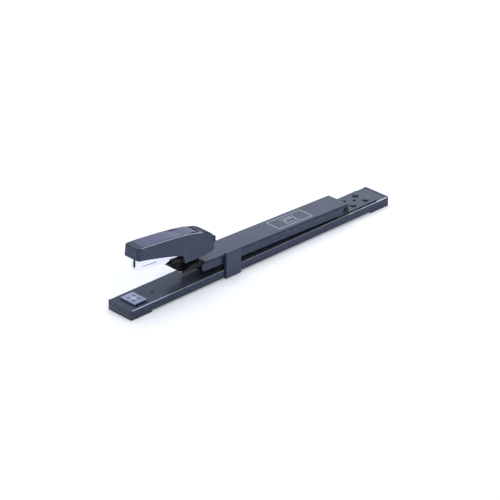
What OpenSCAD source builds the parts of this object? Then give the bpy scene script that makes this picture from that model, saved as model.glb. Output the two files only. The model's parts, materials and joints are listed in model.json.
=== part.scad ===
// Long-arm stapler: a flat steel base, a long channel arm hinged at the rear, and a
// sprung head at the arm's front end that presses a chrome magazine down on an anvil.
// Millimetres. +Z is up, the head is at -X, the hinge at +X, and the origin is on the
// table under the middle of the base.

/* [Base] */
// Length of the base
base_l = 464; // [400:1:560]
// Width of the base
base_w = 44; // [42.6:0.2:56]
// Height of the base's rim above the table
base_h = 12.7; // [11:0.1:16]
// How far the feet hold the tray above the table
foot_h = 2.6; // [2.4:0.1:4]
// Length of the front foot
front_foot_l = 34; // [30:1:38]
// Length of the rear foot
rear_foot_l = 35; // [20:1:40]
// Wall of the tray
tray_t = 1.6; // [1.2:0.1:2]
// Thickness of the top plate
plate_t = 1.2; // [1:0.1:1.6]
// Gap between the tray's rim and the top plate
plate_gap = 0.4; // [0.2:0.1:0.8]
// How far the top plate lies below the rim
plate_drop = 0.4; // [0:0.1:0.6]
// Radius of the tray's upright corners
corner_r = 2.4; // [2:0.1:4]

/* [Anvil] */
// Distance from the base's front end to the anvil's centre
anvil_setback = 23.6; // [21:0.1:26]
// Length of the anvil along the base
anvil_l = 20.4; // [18:0.1:22]
// Width of the anvil
anvil_w = 27; // [24:0.5:30]
// Height of the anvil's face above the top plate
anvil_rise = 2.5; // [2.2:0.1:3]
// Thickness of the anvil's sheet
anvil_t = 1; // [0.8:0.1:1.2]
// Radius of the post the anvil turns on
post_r = 2.5; // [2:0.1:3]
// Radius of the push button under the anvil
button_r = 6.2; // [5:0.1:7]
// How far the resting nose lies behind the anvil's centre
nose_over = 1.95; // [0.5:0.05:4]

/* [Rear hinge] */
// Distance from the base's rear end to the hinge axis
hinge_setback = 82; // [78:1:100]
// Radius of the hinge pin
hinge_pin_r = 2.5; // [2:0.1:3.2]
// Thickness of the bracket plate
bracket_t = 2.5; // [2:0.1:3]
// Thickness of the bracket's ears
ear_t = 1.2; // [1:0.1:1.6]
// Radius of a bracket rivet's shank
rivet_r = 2.5; // [2:0.1:3]
// Radius of a bracket rivet's head
rivet_head_r = 4.4; // [4:0.1:5]

/* [Arm] */
// How far the arm's side lies inside the base's side
arm_margin = 2.2; // [1.8:0.1:2.6]
// Sheet thickness of the arm
arm_t = 1.2; // [1:0.1:1.5]
// Length of the arm behind the hinge axis
arm_rear = 5.5; // [5:0.1:8]
// Outside radius of the arm's top bends
arm_bend_r = 2.6; // [2:0.1:3.2]
// Length of the open notch at the arm's front end
notch_l = 6.5; // [5:0.5:9]

/* [Head] */
// Length from the arm's front end forward to the head pivot
pivot_ahead = 2.4; // [2:0.1:3]
// Height of the resting head pivot above the hinge axis
pivot_height = 13.44; // [11:0.02:16]
// Height of the head pivot above the arm's own axis
pivot_rise = 6.1; // [6:0.1:6.4]
// Radius of the head pivot pin and of the handle pin
head_pin_r = 2; // [1.6:0.1:2.2]
// Distance from the head pivot forward to the magazine's nose
nose_reach = 93.6; // [92:0.1:98]
// Height of the magazine's nose above the head pivot
nose_rise = 20.6; // [20:0.1:22]
// Nose-up slope of the resting head in degrees
head_pitch = 3.9; // [3:0.1:5]
// Outside height of the magazine
mag_h = 16; // [15:0.1:18]
// Length of the magazine
mag_l = 104; // [98:0.4:126]
// Sheet thickness of the magazine
mag_t = 0.8; // [0.7:0.1:1]
// Width across the staples' legs
staple_w = 12.8; // [12:0.1:15.4]
// Length of the staples' legs
staple_leg = 6; // [5:0.5:7]
// Length of the loaded staple strip
strip_l = 52; // [10:1:56]
// Length of the pusher
pusher_l = 8; // [7:0.5:9]
// Radius of the pusher's guide rod
rod_r = 1; // [0.8:0.1:1.1]

/* [Handle and cover] */
// Height of the handle pin above the magazine's underside
handle_rise = 9.4; // [9:0.1:10]
// Sheet thickness of the handle's steel frame
frame_t = 1; // [0.8:0.1:1.2]
// How much narrower the cover's top is than its lower edge
cover_draft = 2.6; // [1.6:0.1:4]
// Wall of the cover
cover_t = 1.6; // [1.2:0.1:1.9]
// Thickness of the driver blade
blade_t = 0.7; // [0.5:0.1:0.8]
// Width of the driver blade
blade_w = 11.6; // [11:0.1:11.8]
// Length of the catch button's push
catch_travel = 2.4; // [1.5:0.1:2.6]

/* [Paper guide] */
// Distance from the base's middle to the guide's front face
guide_x = -73.5; // [-100:0.5:100]
// Length of the guide along the base
guide_l = 26; // [20:0.5:36]
// Wall of the guide's cheeks
guide_t = 2.4; // [2:0.1:3]
// Height of the guide's cheeks above the table
guide_top = 37; // [32:0.5:42]
// Thickness of the guide's sole under the base
sole_t = 1.6; // [1.2:0.1:1.8]

/* [Fits] */
// Radial clearance of a pin that turns in a hole
run_fit = 0.05; // [0.02:0.01:0.1]
// Gap between pieces that slide past each other
slide_gap = 0.3; // [0.25:0.05:0.4]
// Gap between the staples and the magazine's walls
staple_gap = 0.3; // [0.2:0.05:0.4]
// Gap between the magazine and the handle's steel frame
frame_gap = 0.7; // [0.5:0.1:0.9]

/* [Hidden] */
$fn = 48;

// Base
tray_floor = foot_h + tray_t;
plate_z = base_h - plate_drop;
plate_under = plate_z - plate_t;
plate_l = base_l - 2 * (tray_t + plate_gap);
plate_w = base_w - 2 * (tray_t + plate_gap);
flange_t = 1.2;
peg_r = 2;
peg_y = base_w / 2 - 7;
peg_sink = 0.5;
front_peg_x = -base_l / 2 + front_foot_l - 5;
rear_peg_x = base_l / 2 - rear_foot_l / 2;

// Anvil
anvil_x = anvil_setback - base_l / 2;
leaf_rivet_x = anvil_x + 30.7;
leaf_rivet_r = 1.5;
leaf_t = 0.5;
leaf_w = 9;
leaf_lap = 5;
button_z = 1;
button_top = tray_floor + 0.6;
post_flange_r = post_r + 1.5;
post_flange_z = button_top + slide_gap;
post_flange_t = 1;
leaf_z = post_flange_z + post_flange_t + slide_gap;
clinch_x = 4.53;
clinch_y = staple_w / 2.6;
clinch_l = 3.4;
clinch_r = 2.5;
clinch_depth = 0.7;

// Rear hinge
arm_w = base_w - 2 * arm_margin;
hinge_x = base_l / 2 - hinge_setback;
arm_spring_wire_r = 0.7;
arm_spring_r = hinge_pin_r + 2 * arm_spring_wire_r;
hinge_rise = bracket_t + arm_spring_r + arm_spring_wire_r + 0.1;
hinge_z = plate_z + hinge_rise;
bracket_w = arm_w - 1.6;
bracket_x0 = hinge_x - 15;
bracket_x1 = hinge_x + 61;
ear_r = hinge_pin_r + 2.9;
ear_foot = 2;
ear_y = arm_w / 2 - arm_t - 0.4;
rivet_xs = [hinge_x + 25, hinge_x + 49];
rivet_y = 9.5;
rivet_head_h = 1.6;
rivet_tail_h = 1;
centre_hole_x = hinge_x + 37;
centre_hole_r = 2.3;
pin_head_t = 1;
clip_t = 0.7;

// Place of the head: the nose lies over the anvil, and the pivot behind the nose
nose_x = anvil_x + nose_over;
pivot = [nose_x + nose_reach, hinge_z + pivot_height];
nose_z = pivot[1] + nose_rise;

// The head pivot in the head's frame: X back from the nose, Z up from the magazine
low_pin = [
    nose_reach * cos(head_pitch) + nose_rise * sin(head_pitch),
    nose_reach * sin(head_pitch) - nose_rise * cos(head_pitch)];

// Magazine
mag_w = staple_w + 2 * (staple_gap + mag_t);
mag_in = mag_w / 2 - mag_t;
mag_corner = 2;
mag_cheek_r = 1.5;
nose_slot_w = 4.2;
nose_slot_z = 1.4;
side_slot = [8, 4.4, 22, 1.2];
blade_u = 2.3;
rail_u = 3.7;
rail_end = mag_l - 4;
rail_top = mag_t + staple_leg + 0.6;
staple_wire = 0.5;
rail_w = staple_w - 2 * staple_wire - 0.5;
rod_z = rail_top + 4.6;
front_bridge_u = 4.2;
rear_bridge_u = rail_end + 1;
bridge_t = 0.8;
bridge_half_h = 2;
pusher_u = rail_u + strip_l + slide_gap;
pusher_top = rod_z + 2.2;
pusher_skirt_t = 0.3;
pusher_skirt_z = 3;
pusher_spring_wire_r = 0.35;
pusher_spring_r = 1.8;

// Handle, in the head's frame
handle_back = mag_l + 12;
high_pin = [handle_back, handle_rise];
frame_w = mag_w + 2 * (frame_gap + frame_t);
frame_u = handle_back + 4.6;
rear_plate_u = frame_u - 1;
blade_z = 9.7;
blade_top = 28;
seat_u = handle_back - 28;
seat_t = 0.8;
seat_half_l = 6;
handle_spring_r = 3.6;
handle_spring_wire_r = 0.5;

// Head frame: a plate under the magazine with two lugs on each side
lug_y = frame_w / 2 + 0.4;
lug_t = 1.2;
lug_r = 3.8;
lug_foot = 11;
skirt_h = 3;
seat_plate_u0 = low_pin[0] - 39.8;
seat_plate_u1 = handle_back - 13;
cheek_u0 = low_pin[0] - 18;
mag_rivet_us = [seat_plate_u0 + 4, seat_plate_u1 - 5];
mag_rivet_r = 1.5;

// Cover
cover_w = 2 * (lug_y + lug_t + pin_head_t + 0.9 + cover_t);
cover_top_w = cover_w - cover_draft;
cover_u0 = -5.8;
cover_u1 = handle_back + 5.6;
cover_corner_r = 5;

// Arm, in its own frame: X along the arm, Z up from the hinge axis
pivot_dist = norm([hinge_x - pivot[0], pivot_height]);
arm_pitch = atan2(pivot_height, hinge_x - pivot[0]) - asin(pivot_rise / pivot_dist);
pivot_u = -sqrt(pivot_dist * pivot_dist - pivot_rise * pivot_rise);
arm_front = -pivot_u - pivot_ahead;
arm_inner = arm_w / 2 - arm_t;
arm_top = ear_r + 0.7 + arm_t;
arm_bottom = hinge_rise - bracket_t - 0.5;
front_corner_r = 5;
rear_corner_r = 3.6;
pivot_head_t = 0.8;

// Head bracket, welded inside the arm
bed_t = 1.2;
bed_z = 0.3 - arm_bottom;
bed_l = 58;
bed_in = 0.8;
wall_y = cover_w / 2 + 0.7;
wall_t = 1.2;
wall_top = arm_top + 2.6;
wall_low = arm_top - arm_t - 0.2;
wall_reach = 29;
shelf_z = pivot_rise - 3.7;
shelf_t = 1.2;
shelf_back = 9;
return_leaf_t = 0.6;
return_leaf_w = 2 * wall_y - 1;
return_tongue_w = 8;
return_leaf_z = shelf_z + shelf_t + return_leaf_t / 2;
return_fold = [-arm_front - wall_reach - 4.6, return_leaf_z + 1.9];

// Height of the resting magazine's underside at a distance u along the arm
nose_in_arm = [
    pivot_u - nose_reach * cos(arm_pitch) - nose_rise * sin(arm_pitch),
    pivot_rise - nose_reach * sin(arm_pitch) + nose_rise * cos(arm_pitch)];
function mag_under(u) = nose_in_arm[1] - (u - nose_in_arm[0]) * tan(head_pitch - arm_pitch);
function leaf_tip(u) = [u, mag_under(u) - lug_t - return_leaf_t / 2 - 0.15];

// Handle and cover outlines in the head's frame, drawn back to the handle pin
hb = handle_back;
top_line = [[-2.8, 33.2], [30, 33], [66.5, 31.6], [hb - 26, 28.9], [hb - 4, 25.1],
            [cover_u1, 17.8]];
low_line = [[hb + 5, -2.3], [hb - 12, -5.4], [hb - 43.3, -7.2], [hb - 46, 3.6], [56, 7.4],
            [40, 10.8], [23.5, 13.6], [cover_u0, 18.2]];
frame_top = [[0.2, 29], [30, 28.8], [66, 27.6], [hb - 26, 24.6], [hb - 4, 21],
             [frame_u, 15.8]];
frame_low = [[frame_u, 3.9], [hb - 6, 3.9], [hb - 16, 6], [hb - 44, 6], [56, 12],
             [24, 18], [0.2, 21]];
frame_mouth = 1.2;
inset_u0 = 3;
inset_u1 = hb - 16;
inset_w = 19;
inset_t = 1;
inset_sink = 0.2;
inset_gap = 0.2;
draft_z0 = 12;
draft_z1 = 34;

// Catch button at the cover's rear
catch_u = hb + 5;
catch_l = 4;
catch_w = 9;
catch_h = 5.6;
catch_z = 10;
stem_w = 3.8;
stem_h = 3.7;
ledge_l = 5.4;
ledge_w = 8;
ledge_z = 4.9;
catch_spring_u = hb + 6.9;
catch_spring_r = 1.6;
catch_spring_wire_r = 0.3;

// Paper guide
sole_z = foot_h - slide_gap - sole_t;
guide_half = base_w / 2 + slide_gap + guide_t;
guide_gap = 0.6;
fence_t = 1.6;

// Helpers

// A drawing in X and Z given thickness from y0 to y1
module slab(y0, y1)
    translate([0, y1, 0])
        rotate([90, 0, 0])
            linear_extrude(y1 - y0)
                children();

// The same slab on both sides of the middle plane
module both_sides(y0, y1) {
    slab(y0, y1) children();
    slab(-y1, -y0) children();
}

// A round bar across the model, from y0 to y1
module cross_bar(r, y0, y1)
    translate([0, y1, 0])
        rotate([90, 0, 0])
            cylinder(r = r, h = y1 - y0);

module rounded_rect(l, w, r) {
    square([l - 2 * r, w], center = true);
    square([l, w - 2 * r], center = true);
    for (sx = [-1, 1])
        for (sy = [-1, 1])
            translate([sx * (l / 2 - r), sy * (w / 2 - r)])
                circle(r);
}

// What is cut from a square corner at the origin to round it; the metal lies at +X, +Y
module corner_waste(r)
    difference() {
        translate([-1, -1])
            square(r + 1);
        translate([r, r])
            circle(r);
    }

module in_arm()
    translate([hinge_x, 0, hinge_z])
        rotate([0, arm_pitch, 0])
            children();

module in_head()
    translate([nose_x, 0, nose_z])
        rotate([0, head_pitch, 0])
            children();

// A coil spring of round wire standing on the origin along +Z
function coil_point(a, r, pitch) = [r * cos(a), r * sin(a), pitch * a / 360];
module coil(coil_r, wire_r, turns, h) {
    steps = 16;
    sides = 8;
    count = ceil(turns * steps);
    pitch = (h - 2 * wire_r) / turns;
    rings = [for (i = [0:count])
        let (a = 360 * turns * i / count, c = coil_point(a, coil_r, pitch))
            for (k = [0:sides - 1])
                let (b = 360 * k / sides)
                    [c[0] + wire_r * cos(b) * cos(a), c[1] + wire_r * cos(b) * sin(a),
                     c[2] + wire_r + wire_r * sin(b)]];
    near = [for (i = [0:count - 1], k = [0:sides - 1])
        [i * sides + k, (i + 1) * sides + k, (i + 1) * sides + (k + 1) % sides]];
    far = [for (i = [0:count - 1], k = [0:sides - 1])
        [i * sides + k, (i + 1) * sides + (k + 1) % sides, i * sides + (k + 1) % sides]];
    start = [for (k = [0:sides - 1]) k];
    end = [for (k = [sides - 1:-1:0]) count * sides + k];
    polyhedron(rings, concat(near, far, [start, end]), convexity = 8);
}

// A bent strip of sheet through the points of a line in X and Z
module strip(points, t, w)
    for (i = [0:len(points) - 2])
        slab(-w / 2, w / 2)
            hull() {
                translate(points[i])
                    circle(t / 2, $fn = 16);
                translate(points[i + 1])
                    circle(t / 2, $fn = 16);
            }

// Base

module base_tray()
    color("#2b2d33")
    difference() {
        translate([0, 0, foot_h])
            linear_extrude(base_h - foot_h)
                rounded_rect(base_l, base_w, corner_r);
        translate([0, 0, tray_floor])
            linear_extrude(base_h)
                rounded_rect(base_l - 2 * tray_t, base_w - 2 * tray_t, corner_r - tray_t);
        translate([anvil_x, 0, 0])
            cylinder(r = button_r + slide_gap, h = base_h);
        foot_pegs(front_peg_x);
        foot_pegs(rear_peg_x);
    }

module foot_pegs(x)
    for (s = [-1, 1])
        translate([x, s * peg_y, foot_h - peg_sink])
            cylinder(r = peg_r, h = tray_t + peg_sink);

module base_plate()
    color("#33353d")
    difference() {
        translate([-plate_l / 2, -plate_w / 2, tray_floor])
            cube([plate_l, plate_w, plate_z - tray_floor]);
        translate([-plate_l / 2 - 1, -plate_w / 2 + flange_t, tray_floor - 1])
            cube([plate_l + 2, plate_w - 2 * flange_t, plate_under - tray_floor + 1]);
        translate([anvil_x, 0, tray_floor])
            cylinder(r = post_r + run_fit, h = base_h);
        translate([leaf_rivet_x, 0, tray_floor])
            cylinder(r = leaf_rivet_r, h = base_h);
        for (x = rivet_xs)
            for (s = [-1, 1])
                translate([x, s * rivet_y, tray_floor])
                    cylinder(r = rivet_r, h = base_h);
    }

module front_foot()
    color("#24262b") {
        difference() {
            linear_extrude(foot_h)
                intersection() {
                    rounded_rect(base_l, base_w, corner_r);
                    translate([-base_l / 2, -base_w / 2])
                        square([front_foot_l, base_w]);
                }
            translate([anvil_x, 0, -1])
                cylinder(r = button_r + slide_gap, h = foot_h + 2);
        }
        foot_pegs(front_peg_x);
    }

module rear_foot()
    color("#24262b") {
        linear_extrude(foot_h)
            intersection() {
                rounded_rect(base_l, base_w, corner_r);
                translate([base_l / 2 - rear_foot_l, -base_w / 2])
                    square([rear_foot_l, base_w]);
            }
        foot_pegs(rear_peg_x);
    }

module hinge_bracket()
    color("#3a3c46")
    difference() {
        union() {
            translate([bracket_x0, -bracket_w / 2, plate_z])
                cube([bracket_x1 - bracket_x0, bracket_w, bracket_t]);
            both_sides(ear_y - ear_t, ear_y)
                hull() {
                    translate([hinge_x, hinge_z])
                        circle(ear_r);
                    translate([hinge_x - ear_r - ear_foot, plate_z + bracket_t / 2])
                        square([2 * (ear_r + ear_foot), bracket_t / 2]);
                }
        }
        translate([hinge_x, 0, hinge_z])
            cross_bar(hinge_pin_r, -arm_w, arm_w);
        for (x = rivet_xs)
            for (s = [-1, 1])
                translate([x, s * rivet_y, plate_z - 1])
                    cylinder(r = rivet_r, h = bracket_t + 2);
        translate([centre_hole_x, 0, plate_z - 1])
            cylinder(r = centre_hole_r, h = bracket_t + 2);
    }

// A rivet with a low domed head, its head resting on z = 0 and its shank below
module rivet(shank_r, head_r, head_h, grip, tail_h)
    rotate_extrude()
        polygon([
            [0, -grip - tail_h], [head_r * 0.85, -grip - tail_h], [head_r * 0.85, -grip],
            [shank_r, -grip], [shank_r, 0], [head_r, 0], [head_r, head_h * 0.4],
            [head_r * 0.8, head_h * 0.85], [head_r * 0.45, head_h], [0, head_h]]);

module bracket_rivets()
    color("#2c2e36")
    for (x = rivet_xs)
        for (s = [-1, 1])
            translate([x, s * rivet_y, plate_z + bracket_t])
                rivet(rivet_r, rivet_head_r, rivet_head_h, bracket_t + plate_t, rivet_tail_h);

module hinge_pin()
    color("#b9bcc4")
    translate([hinge_x, 0, hinge_z]) {
        cross_bar(hinge_pin_r, -arm_w / 2 - slide_gap, arm_w / 2 + slide_gap + 1.1);
        cross_bar(hinge_pin_r + 1.4, -arm_w / 2 - slide_gap - 1.2, -arm_w / 2 - slide_gap);
    }

module hinge_clip()
    color("#8b8e96")
    translate([hinge_x, 0, hinge_z])
        difference() {
            cross_bar(hinge_pin_r + 1.6, arm_w / 2 + slide_gap, arm_w / 2 + slide_gap + clip_t);
            cross_bar(hinge_pin_r, 0, arm_w);
        }

module anvil_leaf_spring()
    color("#9a9da6")
    difference() {
        union()
            strip([
                [leaf_rivet_x + leaf_lap, plate_under - leaf_t / 2],
                [leaf_rivet_x - leaf_lap, plate_under - leaf_t / 2],
                [anvil_x + post_flange_r + 8, leaf_z + leaf_t / 2],
                [anvil_x - leaf_lap, leaf_z + leaf_t / 2]], leaf_t, leaf_w);
        translate([leaf_rivet_x, 0, 0])
            cylinder(r = leaf_rivet_r, h = base_h);
        translate([anvil_x, 0, 0])
            cylinder(r = post_r + 0.6, h = base_h);
    }

module leaf_rivet()
    color("#17181b")
    translate([leaf_rivet_x, 0, plate_z])
        rivet(leaf_rivet_r, 2, 0.4, plate_t + leaf_t, 0.6);

// Anvil

module anvil_button()
    color("#24262b")
    difference() {
        translate([anvil_x, 0, button_z])
            cylinder(r = button_r, h = button_top - button_z);
        translate([anvil_x, 0, 0])
            cylinder(r = post_r + run_fit, h = base_h);
    }

module anvil_post()
    color("#8b8e96")
    translate([anvil_x, 0, 0]) {
        translate([0, 0, button_z])
            cylinder(r = post_r, h = plate_z + anvil_rise - button_z);
        translate([0, 0, post_flange_z])
            cylinder(r = post_flange_r, h = post_flange_t);
    }

module anvil_plate()
    color("#c8ccdc")
    translate([anvil_x, 0, plate_z])
        difference() {
            translate([-anvil_l / 2, -anvil_w / 2, slide_gap])
                cube([anvil_l, anvil_w, anvil_rise - slide_gap]);
            translate([-anvil_l / 2 + anvil_t, -anvil_w / 2 - 1, -1])
                cube([anvil_l - 2 * anvil_t, anvil_w + 2, anvil_rise - anvil_t + 1]);
            cylinder(r = post_r, h = anvil_rise + 1);
            for (side = [-1, 1])
                for (s = [-1, 1])
                    translate([side * clinch_x, s * clinch_y,
                               anvil_rise + clinch_r - clinch_depth])
                        rotate([0, 90, 0])
                            translate([0, 0, -clinch_l / 2])
                                cylinder(r = clinch_r, h = clinch_l);
        }

// Arm

module arm_profile(half, top, bottom, r) {
    translate([-half, bottom])
        square([2 * half, top - r - bottom]);
    translate([-half + r, bottom])
        square([2 * (half - r), top - bottom]);
    for (s = [-1, 1])
        translate([s * (half - r), top - r])
            circle(r);
}

module along_arm(u0, u1)
    translate([u0, 0, 0])
        rotate([90, 0, 90])
            linear_extrude(u1 - u0)
                children();

module arm_channel()
    color("#3b3d47")
    in_arm()
        difference() {
            along_arm(-arm_front, arm_rear)
                arm_profile(arm_w / 2, arm_top, -arm_bottom, arm_bend_r);
            along_arm(-arm_front - 1, arm_rear + 1)
                arm_profile(arm_inner, arm_top - arm_t, -arm_bottom - 1, arm_bend_r - arm_t);
            translate([-arm_front - 1, -arm_inner, 0])
                cube([notch_l + 1, 2 * arm_inner, arm_top + 1]);
            slab(-arm_w, arm_w)
                translate([-arm_front, -arm_bottom])
                    corner_waste(front_corner_r);
            slab(-arm_w, arm_w)
                translate([arm_rear, -arm_bottom])
                    mirror([1, 0])
                        corner_waste(rear_corner_r);
            cross_bar(hinge_pin_r + run_fit, -arm_w, arm_w);
        }

module arm_return_spring()
    color("#a6a9b2")
    in_arm()
        translate([0, -7, 0])
            rotate([-90, 0, 0])
                coil(arm_spring_r, arm_spring_wire_r, 8, 14);

module head_bracket()
    color("#1b1c20")
    in_arm()
        difference() {
            union() {
                translate([bed_in - arm_front, -arm_inner, bed_z])
                    cube([bed_l, 2 * arm_inner, bed_t]);
                translate([-arm_front - wall_reach, -wall_y - wall_t, shelf_z])
                    cube([wall_reach - shelf_back, 2 * (wall_y + wall_t), shelf_t]);
                translate([-arm_front, 0, 0])
                    both_sides(wall_y, wall_y + wall_t)
                        polygon([
                            [bed_in, bed_z], [bed_in, shelf_z], [-wall_reach, shelf_z],
                            [-wall_reach, shelf_z + 2], [-wall_reach + 16, wall_top],
                            [notch_l - 1.6, wall_top], [notch_l - 0.6, wall_low],
                            [bed_l + bed_in, wall_low], [bed_l + bed_in, bed_z]]);
            }
            translate([pivot_u, 0, pivot_rise])
                cross_bar(head_pin_r, -arm_w, arm_w);
        }

module head_pivot_pin()
    color("#26282d")
    in_arm()
        translate([pivot_u, 0, pivot_rise]) {
            cross_bar(head_pin_r, -wall_y - wall_t, wall_y + wall_t);
            both_heads(wall_y + wall_t, head_pin_r + 1.2, pivot_head_t);
        }

// The flat heads on both ends of a pin that reaches to y on each side
module both_heads(y, r, t)
    for (m = [0, 1])
        mirror([0, m, 0])
            cross_bar(r, y, y + t);

module pivot_bushes()
    color("#1b1c20")
    in_arm()
        translate([pivot_u, 0, pivot_rise])
            for (m = [0, 1])
                mirror([0, m, 0])
                    difference() {
                        cross_bar(head_pin_r + 1.1, lug_y + lug_t + slide_gap, wall_y);
                        cross_bar(head_pin_r, 0, arm_w);
                    }

module head_return_spring()
    color("#d4d6de")
    in_arm() {
        strip([
            [-arm_front - shelf_back - 1, return_leaf_z],
            [-arm_front - wall_reach, return_leaf_z], return_fold],
            return_leaf_t, return_leaf_w);
        strip([
            return_fold, leaf_tip(-arm_front - 22) - [0, 0.8], leaf_tip(-arm_front - 20),
            leaf_tip(-arm_front - 15)], return_leaf_t, return_tongue_w);
    }

// Magazine

// The magazine's plan, open at the rear, with round front corners
module mag_plan(u0, half, r) {
    translate([u0 + r, -half])
        square([mag_l - u0 - r, 2 * half]);
    translate([u0, -half + r])
        square([2 * r, 2 * (half - r)]);
    for (s = [-1, 1])
        translate([u0 + r, s * (half - r)])
            circle(r);
}

module magazine_channel()
    color("#dfe1ea")
    in_head()
        difference() {
            linear_extrude(mag_h)
                mag_plan(0, mag_w / 2, mag_corner);
            translate([0, 0, mag_t])
                linear_extrude(mag_h)
                    mag_plan(mag_t, mag_in, mag_corner - mag_t);
            translate([mag_t, -mag_in, -1])
                cube([rail_u - mag_t, 2 * mag_in, mag_t + 2]);
            translate([-1, -nose_slot_w / 2, nose_slot_z])
                cube([mag_t + 1.5, nose_slot_w, mag_h]);
            slab(-mag_w, mag_w)
                translate([side_slot[0], side_slot[1]])
                    square([side_slot[2], side_slot[3]]);
            slab(-mag_w, mag_w)
                corner_waste(mag_cheek_r);
            magazine_rivet_holes();
        }

module magazine_rivet_holes()
    for (u = mag_rivet_us)
        translate([u, 0, -4])
            cylinder(r = mag_rivet_r, h = 8);

module staple_rail()
    color("#b4b7bf")
    in_head()
        difference() {
            translate([rail_u, -rail_w / 2, mag_t])
                cube([rail_end - rail_u, rail_w, rail_top - mag_t]);
            translate([rail_u - 1, -rail_w / 2 + mag_t, mag_t - 1])
                cube([rail_end - rail_u + 2, rail_w - 2 * mag_t, rail_top - 2 * mag_t + 1]);
        }

module staple_strip()
    color("#c4c7cf")
    in_head()
        difference() {
            translate([rail_u, -staple_w / 2, rail_top + staple_wire - staple_leg])
                cube([strip_l, staple_w, staple_leg]);
            translate([rail_u - 1, -staple_w / 2 + staple_wire, 0])
                cube([strip_l + 2, staple_w - 2 * staple_wire, rail_top]);
        }

module rod_end_plates()
    color("#9a9da6")
    in_head()
        difference() {
            union() {
                translate([front_bridge_u, -mag_in, rod_z - bridge_half_h])
                    cube([bridge_t, 2 * mag_in, 2 * bridge_half_h]);
                translate([rear_bridge_u, -mag_in, mag_t])
                    cube([bridge_t, 2 * mag_in, mag_h - mag_t - 1]);
            }
            translate([0, 0, rod_z])
                rotate([0, 90, 0])
                    cylinder(r = rod_r, h = mag_l);
        }

module pusher_rod()
    color("#a6a9b2")
    in_head()
        translate([front_bridge_u - 0.4, 0, rod_z])
            rotate([0, 90, 0])
                cylinder(r = rod_r, h = rear_bridge_u - front_bridge_u + bridge_t + 0.8);

module pusher()
    color("#e6e4da")
    in_head()
        difference() {
            union() {
                translate([pusher_u, -staple_w / 2 + 0.2, rail_top + slide_gap])
                    cube([pusher_l, staple_w - 0.4, pusher_top - rail_top - slide_gap]);
                for (m = [0, 1])
                    mirror([0, m, 0])
                        translate([pusher_u, rail_w / 2 + slide_gap, pusher_skirt_z])
                            cube([pusher_l, pusher_skirt_t, rail_top]);
            }
            translate([0, 0, rod_z])
                rotate([0, 90, 0])
                    cylinder(r = rod_r + run_fit, h = mag_l);
        }

module pusher_spring()
    color("#a6a9b2")
    in_head()
        translate([pusher_u + pusher_l + 0.1, 0, rod_z])
            rotate([0, 90, 0])
                coil(pusher_spring_r, pusher_spring_wire_r, 14,
                     rear_bridge_u - pusher_u - pusher_l - 0.2);

module head_frame()
    color("#202126")
    in_head()
        difference() {
            union() {
                translate([seat_plate_u0, -lug_y - lug_t, -lug_t])
                    cube([seat_plate_u1 - seat_plate_u0, 2 * (lug_y + lug_t), lug_t]);
                both_sides(lug_y, lug_y + lug_t) {
                    translate([seat_plate_u0, -lug_t - skirt_h])
                        square([low_pin[0] - seat_plate_u0, skirt_h + lug_t]);
                    hull() {
                        translate(low_pin)
                            circle(lug_r);
                        translate([low_pin[0] - lug_foot, -lug_t])
                            square([lug_foot + lug_r, lug_t]);
                    }
                    hull() {
                        translate([cheek_u0, -lug_t])
                            square([seat_plate_u1 - cheek_u0, 4]);
                        translate(high_pin)
                            circle(lug_r + 0.7);
                    }
                }
            }
            translate([low_pin[0], 0, low_pin[1]])
                cross_bar(head_pin_r + run_fit, -arm_w, arm_w);
            translate([high_pin[0], 0, high_pin[1]])
                cross_bar(head_pin_r, -arm_w, arm_w);
            magazine_rivet_holes();
        }

module magazine_rivets()
    color("#b9bcc4")
    in_head()
        for (u = mag_rivet_us)
            translate([u, 0, mag_t])
                rivet(mag_rivet_r, 2.6, 0.8, mag_t + lug_t, 0.8);

module handle_pin()
    color("#b9bcc4")
    in_head()
        translate([high_pin[0], 0, high_pin[1]]) {
            cross_bar(head_pin_r, -lug_y - lug_t, lug_y + lug_t);
            both_heads(lug_y + lug_t, head_pin_r + 1, pin_head_t);
        }

module spring_seat()
    color("#9a9da6")
    in_head()
        difference() {
            translate([seat_u - seat_half_l, -mag_w / 2, mag_h])
                cube([2 * seat_half_l, mag_w, seat_t]);
            translate([seat_u, 0, mag_h - 1])
                cylinder(r = 2, h = seat_t + 2);
        }

module handle_return_spring()
    color("#a6a9b2")
    in_head()
        translate([seat_u, 0, mag_h + seat_t])
            coil(handle_spring_r, handle_spring_wire_r, 3.5,
                 lookup(seat_u, frame_top) - frame_t - mag_h - seat_t - 0.45);

// Handle and cover

module handle_frame()
    color("#2a2c32")
    in_head()
        difference() {
            union() {
                slab(-frame_w / 2, frame_w / 2)
                    polygon(concat(frame_top, frame_low));
                translate([rear_plate_u, -ledge_w / 2, ledge_z - frame_t])
                    cube([ledge_l, ledge_w, frame_t]);
            }
            slab(-frame_w / 2 + frame_t, frame_w / 2 - frame_t)
                intersection() {
                    translate([0, -frame_t])
                        polygon(concat(frame_top, [[frame_u + 20, -20], [0.2, -20]]));
                    translate([frame_mouth, -30])
                        square([rear_plate_u - frame_mouth, 70]);
                }
            translate([-1, -frame_w, 0])
                cube([3, 2 * frame_w, mag_h + 10]);
            translate([high_pin[0], 0, high_pin[1]])
                cross_bar(head_pin_r + run_fit, -arm_w, arm_w);
            translate([rear_plate_u - 1, -stem_w / 2 - slide_gap,
                       catch_z - catch_travel - slide_gap])
                cube([3, stem_w + 2 * slide_gap, stem_h + catch_travel + 2 * slide_gap]);
        }

module driver_blade()
    color("#8b8e96")
    in_head()
        translate([blade_u - blade_t / 2, -blade_w / 2, blade_z])
            cube([blade_t, blade_w, blade_top - blade_z]);

module blade_rivets()
    color("#8b8e96")
    in_head()
        for (s = [-1, 1])
            translate([frame_mouth, 3.4 * s, blade_top - 1])
                rotate([0, 90, 0])
                    cylinder(r = 0.8, h = blade_u - blade_t / 2 - frame_mouth);

module cover_outline()
    polygon(concat(top_line, low_line));

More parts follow.
